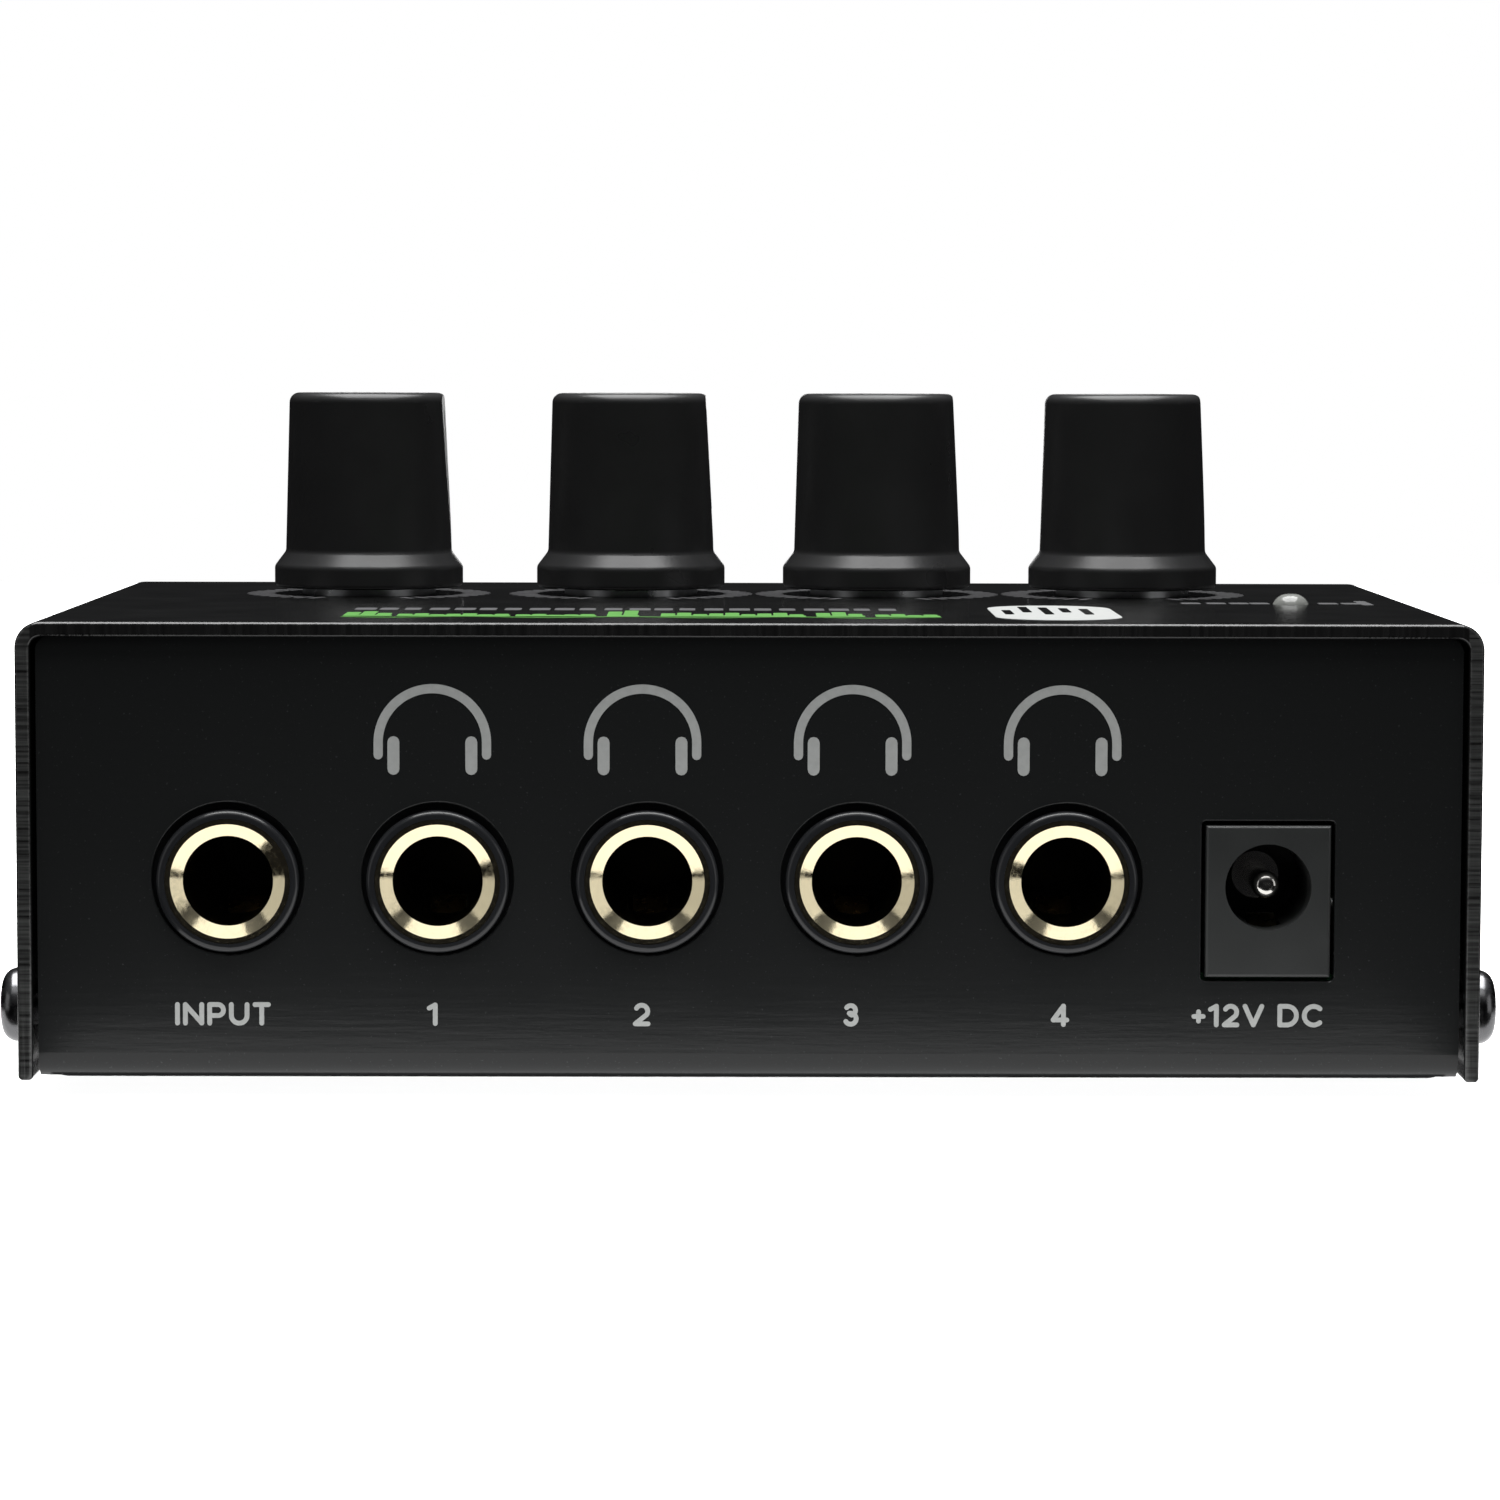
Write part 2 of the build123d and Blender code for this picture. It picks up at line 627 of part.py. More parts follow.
for number, x in enumerate(knob_x, start=1):
    axis = Axis((x, knob_y, 0), (0, 0, 1))

    with BuildPart() as pot_bushing:
        with BuildSketch(Plane.XY.offset(pot_plate_z)):
            with Locations((x, knob_y)):
                Rectangle(pot_plate_x, pot_plate_y)
        extrude(amount=pot_plate_thickness)
        with BuildSketch(Plane.XY.offset(ceiling_z)):
            with Locations((x, knob_y)):
                Circle(bushing_r)
        extrude(amount=bushing_length)
        chamfer(pot_bushing.edges().filter_by(GeomType.CIRCLE).sort_by(Axis.Z)[-1], 0.3)
        with BuildSketch(Plane.XY.offset(pot_plate_z)):
            arm_x = (pot_plate_x - pot_arm_thickness) / 2
            with Locations((x - arm_x, knob_y), (x + arm_x, knob_y)):
                Rectangle(pot_arm_thickness, pot_arm_width)
        extrude(amount=-pot_arm_length)
        with BuildSketch(Plane.XY.offset(pot_plate_z)):
            with Locations((x, knob_y)):
                Circle(shaft_r + shaft_running_gap)
        extrude(amount=pot_plate_thickness + bushing_length, mode=Mode.SUBTRACT)
    pot_bushing.part.label = f"pot_bushing_{number}"
    export_step(pot_bushing.part, f"parts/pot_bushing_{number}.step")

    with BuildPart() as pot_body:
        with BuildSketch(Plane.XY.offset(pot_body_z)):
            with Locations((x, knob_y)):
                Rectangle(pot_body_x, pot_body_y)
        extrude(amount=pot_body_height)
        with BuildSketch(Plane.XY.offset(rotor_floor_z)):
            with Locations((x, knob_y)):
                Circle(rotor_space_r)
        extrude(amount=pot_body_height - pot_floor, mode=Mode.SUBTRACT)
    pot_body.part.label = f"pot_body_{number}"
    export_step(pot_body.part, f"parts/pot_body_{number}.step")

    with BuildPart() as pot_terminals:
        with BuildSketch(Plane.XY.offset(pot_body_z)):
            with Locations(*[(x + dx, knob_y + dy) for dx, dy in terminal_places]):
                Rectangle(terminal_width, terminal_thickness)
        extrude(amount=-(board_thickness + lead_tail))
    pot_terminals.part.label = f"pot_terminals_{number}"
    export_step(pot_terminals.part, f"parts/pot_terminals_{number}.step")

    with BuildPart() as pot_shaft:
        hub_z = rotor_floor_z + rotor_end_play
        upper_rotor_z = pot_plate_z - rotor_end_play - rotor_thickness
        with BuildSketch(Plane.XY.offset(hub_z)):
            with Locations((x, knob_y)):
                Circle(rotor_hub_r)
        extrude(amount=upper_rotor_z - hub_z)
        with BuildSketch(Plane.XY.offset(hub_z + rotor_thickness)):
            with Locations((x, knob_y)):
                Circle(rotor_r)
        extrude(amount=rotor_thickness)
        with BuildSketch(Plane.XY.offset(upper_rotor_z)):
            with Locations((x, knob_y)):
                Circle(rotor_r)
        extrude(amount=rotor_thickness)
        with BuildSketch(Plane.XY.offset(upper_rotor_z + rotor_thickness)):
            with Locations((x, knob_y)):
                Circle(shaft_r)
        extrude(amount=top_z + shaft_top - upper_rotor_z - rotor_thickness)
        chamfer(pot_shaft.edges().filter_by(GeomType.CIRCLE).sort_by(Axis.Z)[-1], 0.4)
        with BuildSketch(Plane.XY.offset(top_z + shaft_flat_start)):
            with Locations((x - shaft_flat, knob_y)):
                Rectangle(shaft_r, 2 * shaft_r, align=(Align.MAX, Align.CENTER))
        extrude(amount=shaft_top - shaft_flat_start, mode=Mode.SUBTRACT)
    pot_shaft.part.label = f"pot_shaft_{number}"
    export_step(pot_shaft.part, f"parts/pot_shaft_{number}.step")

    with BuildPart() as knob:
        with BuildSketch(Plane((x, knob_y, top_z), x_dir=(1, 0, 0), z_dir=(0, -1, 0))):
            with BuildLine():
                FilletPolyline(
                    (0, knob_top),
                    (cap_top_r, knob_top),
                    (cap_base_r, flare_top),
                    (skirt_r, flare_bottom),
                    (skirt_r, knob_bottom),
                    (skirt_inner_r, knob_bottom),
                    radius=(cap_edge, flare_round, flare_round, skirt_edge),
                )
                Polyline(
                    (skirt_inner_r, knob_bottom),
                    (skirt_inner_r, nut_space_top),
                    (cap_inner_r, nut_space_top),
                    (cap_inner_r, knob_top - cap_roof),
                    (hub_r, knob_top - cap_roof),
                    (hub_r, hub_bottom),
                    (0, hub_bottom),
                    (0, knob_top),
                )
            make_face()
        revolve(axis=axis)
        # D-shaped hole for the shaft
        with BuildSketch(Plane.XY.offset(top_z + hub_bottom)):
            with Locations((x, knob_y)):
                Circle(shaft_r + fit_gap)
            with Locations((x - shaft_flat - fit_gap, knob_y)):
                Rectangle(
                    shaft_r,
                    4 * shaft_r,
                    align=(Align.MAX, Align.CENTER),
                    mode=Mode.SUBTRACT,
                )
        extrude(amount=shaft_top + 0.2 - hub_bottom, mode=Mode.SUBTRACT)
        # the pointer: a tapered flat down the side of the cap
        with BuildSketch(Plane((x, knob_y, top_z), x_dir=(1, 0, 0), z_dir=(0, -1, 0))):
            with BuildLine():
                Polyline(
                    (pointer_top_x, knob_top),
                    (skirt_r, knob_top),
                    (skirt_r, pointer_base),
                    (cap_base_r, pointer_base),
                    close=True,
                )
            make_face()
        extrude(amount=skirt_r, both=True, mode=Mode.SUBTRACT)
    knob.part.label = f"knob_{number}"
    export_step(knob.part, f"parts/knob_{number}.step")

with BuildPart() as pot_washers:
    with BuildSketch(Plane.XY.offset(top_z)):
        with Locations(*[(x, knob_y) for x in knob_x]):
            Circle(washer_r)
            Circle(bushing_r + bushing_hole_gap, mode=Mode.SUBTRACT)
    extrude(amount=washer_thickness)
pot_washers.part.label = "pot_washers"
export_step(pot_washers.part, "parts/pot_washers.step")

with BuildPart() as pot_nuts:
    with BuildSketch(Plane.XY.offset(top_z + washer_thickness)):
        with Locations(*[(x, knob_y) for x in knob_x]):
            RegularPolygon(nut_flat_r, 6, major_radius=False)
            Circle(bushing_r + thread_gap, mode=Mode.SUBTRACT)
    extrude(amount=nut_thickness)
pot_nuts.part.label = "pot_nuts"
export_step(pot_nuts.part, "parts/pot_nuts.step")

# Places of the round leads on the main board

chip_places = [(x, chip_y) for x in jack_xs]
chip_legs = []
for column in range(4):
    for row in (-1, 1):
        chip_legs.append(((column - 1.5) * chip_pitch, row * chip_row / 2))

capacitor_places = []
resistor_places = []
for x in jack_xs[1:]:
    for side in (-1, 1):
        capacitor_places.append((x + side * capacitor_spread, capacitor_y))
for x in jack_xs[1:]:
    resistor_places.append((x, resistor_y))
    resistor_places.append((x, resistor_y + resistor_spread))

link_places = []
for side in (-0.5, 0.5):
    for i in range(link_pins):
        pin_y = link_y + (i - (link_pins - 1) / 2) * link_pitch
        link_places.append((link_x + side * link_pitch, pin_y))

lead_places = []
for x, y in chip_places:
    lead_places += [(x + dx, y + dy) for dx, dy in chip_legs]
for x, y in capacitor_places:
    lead_places += [(x, y - capacitor_pitch / 2), (x, y + capacitor_pitch / 2)]
for x, y in reservoir_places:
    lead_places += [(x, y - capacitor_pitch / 2), (x, y + capacitor_pitch / 2)]
for x, y in resistor_places:
    lead_places += [(x - resistor_span / 2, y), (x + resistor_span / 2, y)]
for step in (-1, 0, 1):
    lead_places.append((regulator_x + step * regulator_pitch, regulator_y))
for side in (-1, 1):
    lead_places.append((led_x + side * led_lead_pitch / 2, led_y))

# Boards

with BuildPart() as main_board:
    board_front = panel_inner_y + board_front_gap
    with BuildSketch(Plane.XY.offset(board_bottom)):
        with Locations((0, board_front)):
            Rectangle(board_width, board_back - board_front, align=(Align.CENTER, Align.MIN))
        with Locations(*standoff_places):
            Circle(screw_hole_r, mode=Mode.SUBTRACT)
        with Locations(*lead_places):
            Circle(lead_hole_r, mode=Mode.SUBTRACT)
        with Locations(*link_places):
            Circle(pin_hole_r, mode=Mode.SUBTRACT)
        for x in jack_xs:
            with Locations((x, barrel_end_y - lug_thickness / 2)):
                Rectangle(lug_width + 2 * lug_gap, lug_thickness + 2 * lug_gap, mode=Mode.SUBTRACT)
            with Locations((x, ring_tail_y), (x, strap_y)):
                Rectangle(leaf_width + 2 * lug_gap, leaf_thickness + 2 * lug_gap, mode=Mode.SUBTRACT)
        with Locations((dc_x, dc_tab_y)):
            Rectangle(lug_width + 2 * lug_gap, lug_thickness + 2 * lug_gap, mode=Mode.SUBTRACT)
        with Locations((dc_x, dc_leaf_y)):
            Rectangle(dc_leaf_width + 2 * lug_gap, leaf_thickness + 2 * lug_gap, mode=Mode.SUBTRACT)
    extrude(amount=board_thickness)
main_board.part.label = "main_board"
export_step(main_board.part, "parts/main_board.step")

with BuildPart() as pot_board:
    with BuildSketch(Plane.XY.offset(pot_board_z)):
        with Locations((0, pot_board_front)):
            pot_board_depth = pot_board_back - pot_board_front
            Rectangle(pot_board_width, pot_board_depth, align=(Align.CENTER, Align.MIN))
        for x in knob_x:
            with Locations(*[(x + dx, knob_y + dy) for dx, dy in terminal_places]):
                Circle(pin_hole_r, mode=Mode.SUBTRACT)
        with Locations(*link_places):
            Circle(pin_hole_r, mode=Mode.SUBTRACT)
    extrude(amount=board_thickness)
pot_board.part.label = "pot_board"
export_step(pot_board.part, "parts/pot_board.step")

with BuildPart() as board_link:
    # two rows of pins, through a block on the main board and one under the upper board
    for block_z in (board_top, pot_board_z - link_block):
        with BuildSketch(Plane.XY.offset(block_z)):
            with Locations((link_x, link_y)):
                Rectangle(2 * link_pitch, link_pins * link_pitch)
        extrude(amount=link_block)
    with BuildSketch(Plane.XY.offset(tail_z)):
        with Locations(*link_places):
            Rectangle(link_pin, link_pin)
    extrude(amount=pot_board_z + board_thickness + lead_tail - tail_z)
board_link.part.label = "board_link"
export_step(board_link.part, "parts/board_link.step")

with BuildPart() as board_standoffs:
    with BuildSketch(Plane.XY.offset(floor_z)):
        with Locations(*standoff_places):
            RegularPolygon(standoff_r, 6, major_radius=False)
    extrude(amount=board_bottom - floor_z)
    with BuildSketch(Plane.XY.offset(base_z)):
        with Locations(*standoff_places):
            Circle(standoff_spigot_r)
    extrude(amount=chassis_sheet)
    with BuildSketch(Plane.XY.offset(board_bottom)):
        with Locations(*standoff_places):
            Circle(screw_r + thread_gap)
    extrude(amount=-(board_screw_length - board_thickness + 0.5), mode=Mode.SUBTRACT)
board_standoffs.part.label = "board_standoffs"
export_step(board_standoffs.part, "parts/board_standoffs.step")

board_screw = pan_screw(board_screw_length)
with BuildPart() as board_screws:
    with Locations(*[(x, y, board_top) for x, y in standoff_places]):
        add(board_screw)
board_screws.part.label = "board_screws"
export_step(board_screws.part, "parts/board_screws.step")

# Parts on the main board

with BuildPart() as amplifier_chips:
    with BuildSketch(Plane.XY.offset(board_top + chip_lift)):
        with Locations(*chip_places):
            Rectangle(chip_length, chip_width)
    extrude(amount=chip_height)
    with BuildSketch(Plane.XY.offset(tail_z)):
        for x, y in chip_places:
            with Locations(*[(x + dx, y + dy) for dx, dy in chip_legs]):
                Rectangle(chip_leg, chip_leg)
    extrude(amount=board_top + chip_lift + chip_height / 2 - tail_z)
    with BuildSketch(Plane.XY.offset(board_top + chip_lift + chip_height / 2 - chip_leg)):
        for x, y in chip_places:
            with Locations(*[(x + (column - 1.5) * chip_pitch, y) for column in range(4)]):
                Rectangle(chip_leg, chip_row)
    extrude(amount=chip_leg)
amplifier_chips.part.label = "amplifier_chips"
export_step(amplifier_chips.part, "parts/amplifier_chips.step")

with BuildPart() as capacitors:
    sizes = ((capacitor_places, capacitor_r, capacitor_height),)
    sizes += ((reservoir_places, reservoir_r, reservoir_height),)
    for places, radius, height in sizes:
        with BuildSketch(Plane.XY.offset(board_top)):
            with Locations(*places):
                Circle(radius)
        extrude(amount=height)
        fillet(capacitors.edges(Select.LAST).group_by(Axis.Z)[-1], 0.5)
        with BuildSketch(Plane.XY.offset(board_top)):
            for x, y in places:
                with Locations((x, y - capacitor_pitch / 2), (x, y + capacitor_pitch / 2)):
                    Circle(lead_r)
        extrude(amount=tail_z - board_top)
capacitors.part.label = "capacitors"
export_step(capacitors.part, "parts/capacitors.step")

with BuildPart() as resistors:
    resistor_z = board_top + resistor_r + 0.1
    for x, y in resistor_places:
        ends = (x - resistor_span / 2, x + resistor_span / 2)
        with BuildSketch(Plane.YZ.offset(x - resistor_length / 2)):
            with Locations((y, resistor_z)):
                Circle(resistor_r)
        extrude(amount=resistor_length)
        with BuildSketch(Plane.YZ.offset(ends[0])):
            with Locations((y, resistor_z)):
                Circle(lead_r)
        extrude(amount=resistor_span)
        with BuildSketch(Plane.XY.offset(tail_z)):
            with Locations((ends[0], y), (ends[1], y)):
                Circle(lead_r)
        extrude(amount=resistor_z - tail_z)
resistors.part.label = "resistors"
export_step(resistors.part, "parts/resistors.step")

with BuildPart() as voltage_regulator:
    body_z = board_top + regulator_lift
    with BuildSketch(Plane.XY.offset(body_z)):
        with Locations((regulator_x, regulator_y)):
            Rectangle(regulator_width, regulator_depth)
    extrude(amount=regulator_body)
    with BuildSketch(Plane.XY.offset(body_z + regulator_body)):
        with Locations((regulator_x, regulator_y + regulator_depth / 2)):
            Rectangle(regulator_width, regulator_tab_depth, align=(Align.CENTER, Align.MAX))
    extrude(amount=regulator_tab)
    with BuildSketch(Plane.XY.offset(tail_z)):
        for step in (-1, 0, 1):
            with Locations((regulator_x + step * regulator_pitch, regulator_y)):
                Rectangle(chip_leg, chip_leg)
    extrude(amount=body_z - tail_z)
voltage_regulator.part.label = "voltage_regulator"
export_step(voltage_regulator.part, "parts/voltage_regulator.step")

with BuildPart() as power_led:
    with BuildSketch(Plane.XY.offset(led_base_z)):
        with Locations((led_x, led_y)):
            Circle(led_flange_r)
    extrude(amount=led_flange)
    with BuildSketch(Plane.XY.offset(led_base_z + led_flange)):
        with Locations((led_x, led_y)):
            Circle(led_r)
    extrude(amount=led_length)
    fillet(power_led.edges().filter_by(GeomType.CIRCLE).sort_by(Axis.Z)[-1], led_r * 0.85)
    with BuildSketch(Plane.XY.offset(led_base_z)):
        for side in (-1, 1):
            with Locations((led_x + side * led_lead_pitch / 2, led_y)):
                Circle(lead_r)
    extrude(amount=tail_z - led_base_z)
power_led.part.label = "power_led"
export_step(power_led.part, "parts/power_led.step")

with BuildPart() as led_spacer:
    with BuildSketch(Plane.XY.offset(board_top)):
        with Locations((led_x, led_y)):
            Circle(spacer_r)
        for side in (-1, 1):
            with Locations((led_x + side * led_lead_pitch / 2, led_y)):
                Circle(lead_hole_r, mode=Mode.SUBTRACT)
    extrude(amount=led_base_z - board_top)
led_spacer.part.label = "led_spacer"
export_step(led_spacer.part, "parts/led_spacer.step")
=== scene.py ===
"""Looks of the four-channel headphone amplifier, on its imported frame.

Lengths are in millimetres until they reach a mesh or an object, where MM turns them into metres.
The jack panel faces -Y and the user stands on the +Y side.
"""

import math

import bpy
from mathutils import Euler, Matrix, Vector
from mathutils.geometry import delaunay_2d_cdt


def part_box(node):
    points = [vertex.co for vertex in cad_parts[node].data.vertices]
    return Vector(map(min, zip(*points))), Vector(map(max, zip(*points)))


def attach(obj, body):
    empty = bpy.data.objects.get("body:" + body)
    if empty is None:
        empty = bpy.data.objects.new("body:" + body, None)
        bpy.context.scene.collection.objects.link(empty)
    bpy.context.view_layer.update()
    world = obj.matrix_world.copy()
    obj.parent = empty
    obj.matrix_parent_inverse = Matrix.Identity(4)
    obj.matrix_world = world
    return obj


MM = 0.001

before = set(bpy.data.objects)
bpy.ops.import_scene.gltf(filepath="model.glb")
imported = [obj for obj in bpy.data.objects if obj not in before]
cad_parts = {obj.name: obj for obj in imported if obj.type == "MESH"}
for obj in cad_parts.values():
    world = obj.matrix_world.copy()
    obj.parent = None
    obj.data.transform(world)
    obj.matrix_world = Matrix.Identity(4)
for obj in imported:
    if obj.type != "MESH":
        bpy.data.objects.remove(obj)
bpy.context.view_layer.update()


def box(node):
    """Lowest and highest corner of a CAD node, in millimetres."""
    low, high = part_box(node)
    return Vector(low) / MM, Vector(high) / MM


def middle(node):
    low, high = box(node)
    return (low + high) / 2


# Places read from the frame
cover_low, cover_high = box("top_cover")
front_y = cover_low.y
back_y = cover_high.y
top_z = cover_high.z
base_z = cover_low.z
panel_y = box("base_chassis")[0].y
knobs = {number: middle(f"knob_{number}") for number in (1, 2, 3, 4)}
led = middle("power_led")
SHEET = 1.1  # thickness of the cover

# ---------------------------------------------------------------------------------------------
# Materials
# ---------------------------------------------------------------------------------------------


class Finish:
    """A material on the Principled shader, with helpers for its procedural detail."""

    def __init__(self, name, colour, roughness, metallic=0.0, **sockets):
        old = bpy.data.materials.get(name)
        if old:
            old.name = f"{name}.plain"
        self.material = bpy.data.materials.new(name)
        self.material.use_nodes = True
        self.tree = self.material.node_tree
        self.shader = self.tree.nodes["Principled BSDF"]
        self.shader.inputs["Base Color"].default_value = (*colour, 1)
        self.shader.inputs["Roughness"].default_value = roughness
        self.shader.inputs["Metallic"].default_value = metallic
        for socket, value in sockets.items():
            self.shader.inputs[socket.replace("_", " ")].default_value = value
        self.colour = colour
        self.roughness = roughness
        self.place = self.tree.nodes.new("ShaderNodeTexCoord").outputs["Object"]
        self.height = None

    def link(self, source, target):
        self.tree.links.new(source, target)

    def node(self, kind, **settings):
        made = self.tree.nodes.new(kind)
        for key, value in settings.items():
            setattr(made, key, value)
        return made

    def noise(self, size, detail=3.0, stretch=(1, 1, 1)):
        """Noise with features about `size` millimetres across; stretch multiplies it per axis."""
        mapping = self.node("ShaderNodeMapping")
        mapping.inputs["Scale"].default_value = [1 / s for s in stretch]
        self.link(self.place, mapping.inputs["Vector"])
        texture = self.node("ShaderNodeTexNoise")
        texture.inputs["Scale"].default_value = 1 / (size * MM)
        texture.inputs["Detail"].default_value = detail
        self.link(mapping.outputs["Vector"], texture.inputs["Vector"])
        return texture.outputs["Fac"]

    def spread(self, value, low, high, start=0.3, end=0.7):
        """Maps a value that runs from start to end onto low to high."""
        ranged = self.node("ShaderNodeMapRange")
        ranged.inputs["From Min"].default_value = start
        ranged.inputs["From Max"].default_value = end
        ranged.inputs["To Min"].default_value = low
        ranged.inputs["To Max"].default_value = high
        self.link(value, ranged.inputs["Value"])
        return ranged.outputs["Result"]

    def mix(self, factor, dark, light):
        mixed = self.node("ShaderNodeMix", data_type="RGBA")
        mixed.inputs["A"].default_value = (*dark, 1)
        mixed.inputs["B"].default_value = (*light, 1)
        self.link(factor, mixed.inputs["Factor"])
        return mixed.outputs["Result"]

    def join(self, factor, first, second):
        """Goes from one colour socket to another."""
        joined = self.node("ShaderNodeMix", data_type="RGBA")
        self.link(factor, joined.inputs["Factor"])
        self.link(first, joined.inputs["A"])
        self.link(second, joined.inputs["B"])
        return joined.outputs["Result"]

    def tint(self, factor, amount):
        """Varies the colour by a share of itself either way."""
        dark = [c * (1 - amount) for c in self.colour]
        light = [c * (1 + amount) for c in self.colour]
        self.link(self.mix(factor, dark, light), self.shader.inputs["Base Color"])
        return self

    def wear(self, factor, amount):
        """Varies the roughness by an amount either way."""
        low = max(0.03, self.roughness - amount)
        self.link(
            self.spread(factor, low, self.roughness + amount), self.shader.inputs["Roughness"]
        )
        return self

    def bump(self, height, depth, strength=1.0):
        """Adds relief, `depth` millimetres deep, on top of any relief already there."""
        made = self.node("ShaderNodeBump")
        made.inputs["Distance"].default_value = depth * MM
        made.inputs["Strength"].default_value = strength
        self.link(height, made.inputs["Height"])
        if self.height:
            self.link(self.height, made.inputs["Normal"])
        self.height = made.outputs["Normal"]
        self.link(self.height, self.shader.inputs["Normal"])
        return self


def powder_coat(name, colour, shine):
    """Fine-grained black powder coat: small pits, and a few lighter specks."""
    paint = Finish(name, colour, 0.20, Specular_IOR_Level=shine)
    specks = paint.noise(0.22, 2)
    speck = paint.spread(specks, 0, 1, 0.66, 0.76)
    light = [c * 2.6 for c in colour]
    paint.link(paint.mix(speck, colour, light), paint.shader.inputs["Base Color"])
    paint.wear(paint.noise(6, 3), 0.02)
    paint.bump(paint.noise(0.35, 3), 0.01, 0.3)
    paint.bump(paint.noise(2.5, 2), 0.02, 0.2)
    return paint


def chassis_paint():
    """The same coat on the folded base, with the sheet's rolling grain just showing. Its colour
    is about six times lighter than the cover's: painted light on the jack panel.
    """
    paint = powder_coat("chassis_paint", (0.0158, 0.0168, 0.0170), 0.34)
    paint.bump(paint.noise(0.5, 3, stretch=(14, 14, 1)), 0.03, 0.35)
    return paint


def cover_paint():
    """The same coat, over the lines that shearing leaves on the sheet's two open ends. Those
    faces are painted lighter in stripes: shear lines, with a painted sheen for the light they
    catch.
    """
    # the cover's colour is about six times darker than the base's same coat: painted shade on its
    # top
    paint = powder_coat("cover_paint", (0.0026, 0.0027, 0.0027), 0.55)
    coat = paint.shader.inputs["Base Color"].links[0].from_socket
    parts = paint.node("ShaderNodeSeparateXYZ")
    paint.link(paint.place, parts.inputs[0])
    reach = {}
    for axis in ("X", "Y"):
        size = paint.node("ShaderNodeMath", operation="ABSOLUTE")
        paint.link(parts.outputs[axis], size.inputs[0])
        reach[axis] = size.outputs[0]
    at_end = paint.spread(reach["Y"], 0, 1, (back_y - 0.12) * MM, (back_y - 0.02) * MM)
    wall = cover_high.x - SHEET
    on_wall = paint.spread(reach["X"], 0, 1, (wall - 0.1) * MM, wall * MM)
    upright = paint.noise(0.3, 3, stretch=(1, 1, 30))
    level = paint.noise(0.22, 3, stretch=(30, 1, 1))
    # painted sheen: the cut ends' lighter stripes stand in for light that the shear lines catch
    top_cut_sheen = paint.mix(paint.spread(upright, 0, 1), (0.008, 0.008, 0.008), (0.018, 0.018, 0.018))
    side_cut_sheen = paint.mix(paint.spread(level, 0, 1), (0.010, 0.010, 0.010), (0.085, 0.087, 0.085))
    shorn_sheen = paint.join(on_wall, top_cut_sheen, side_cut_sheen)
    paint.link(paint.join(at_end, coat, shorn_sheen), paint.shader.inputs["Base Color"])
    marks = paint.node("ShaderNodeMath", operation="MULTIPLY")
    paint.link(at_end, marks.inputs[0])
    paint.link(upright, marks.inputs[1])
    paint.bump(marks.outputs[0], 0.1, 0.5)
    return paint


def plastic(name, colour, roughness, grain=0.25, depth=0.012, **sockets):
    made = Finish(name, colour, roughness, **sockets)
    made.tint(made.noise(3, 4), 0.12)
    made.wear(made.noise(5, 3), 0.05)
    made.bump(made.noise(grain, 2), depth, 0.5)
    return made


def metal(name, colour, roughness, scratch=(1, 1, 12), depth=0.004, **sockets):
    made = Finish(name, colour, roughness, 1.0, **sockets)
    made.tint(made.noise(1.6, 4), 0.08)
    made.wear(made.noise(0.9, 4), min(0.08, roughness * 0.5))
    made.bump(made.noise(0.12, 2, stretch=scratch), depth, 0.4)
    return made


def gold_plate():
    """Bright plate with a faint spun grain and a few dull marks."""
    gold = Finish("gold_plate", (0.93, 0.82, 0.55), 0.13, 1.0)
    gold.tint(gold.noise(0.8, 3), 0.06)
    gold.wear(gold.noise(0.35, 4), 0.06)
    gold.bump(gold.noise(0.9, 2), 0.02, 0.35)
    gold.bump(gold.noise(0.07, 2), 0.003, 0.4)
    return gold


def circuit_board():
    """Green solder mask over a grid of tracks."""
    board = Finish("circuit_board", (0.012, 0.085, 0.035), 0.32)
    tracks = board.node("ShaderNodeTexBrick", offset=0.5, squash=1.0)
    tracks.inputs["Color1"].default_value = (0.012, 0.085, 0.035, 1)
    tracks.inputs["Color2"].default_value = (0.010, 0.070, 0.030, 1)
    tracks.inputs["Mortar"].default_value = (0.030, 0.150, 0.060, 1)
    tracks.inputs["Scale"].default_value = 1 / (2.54 * MM)
    tracks.inputs["Mortar Size"].default_value = 0.12
    board.link(board.place, tracks.inputs["Vector"])
    board.link(tracks.outputs["Color"], board.shader.inputs["Base Color"])
    board.bump(tracks.outputs["Fac"], 0.02, 0.5)
    board.wear(board.noise(2, 2), 0.06)
    return board


def lens():
    made = Finish("led_lens", (0.30, 0.31, 0.29), 0.12, Transmission_Weight=0.35)
    made.tint(made.noise(0.8, 3), 0.10)
    made.bump(made.noise(0.5, 2), 0.004, 0.3)
    return made


def ink(name, colour):
    """Screen-printed ink: slightly mottled and a little rough."""
    made = Finish(name, colour, 0.5, Specular_IOR_Level=0.35)
    made.tint(made.noise(0.5, 4), 0.14)
    made.wear(made.noise(1.0, 2), 0.06)
    made.bump(made.noise(0.2, 2), 0.006, 0.5)
    return made


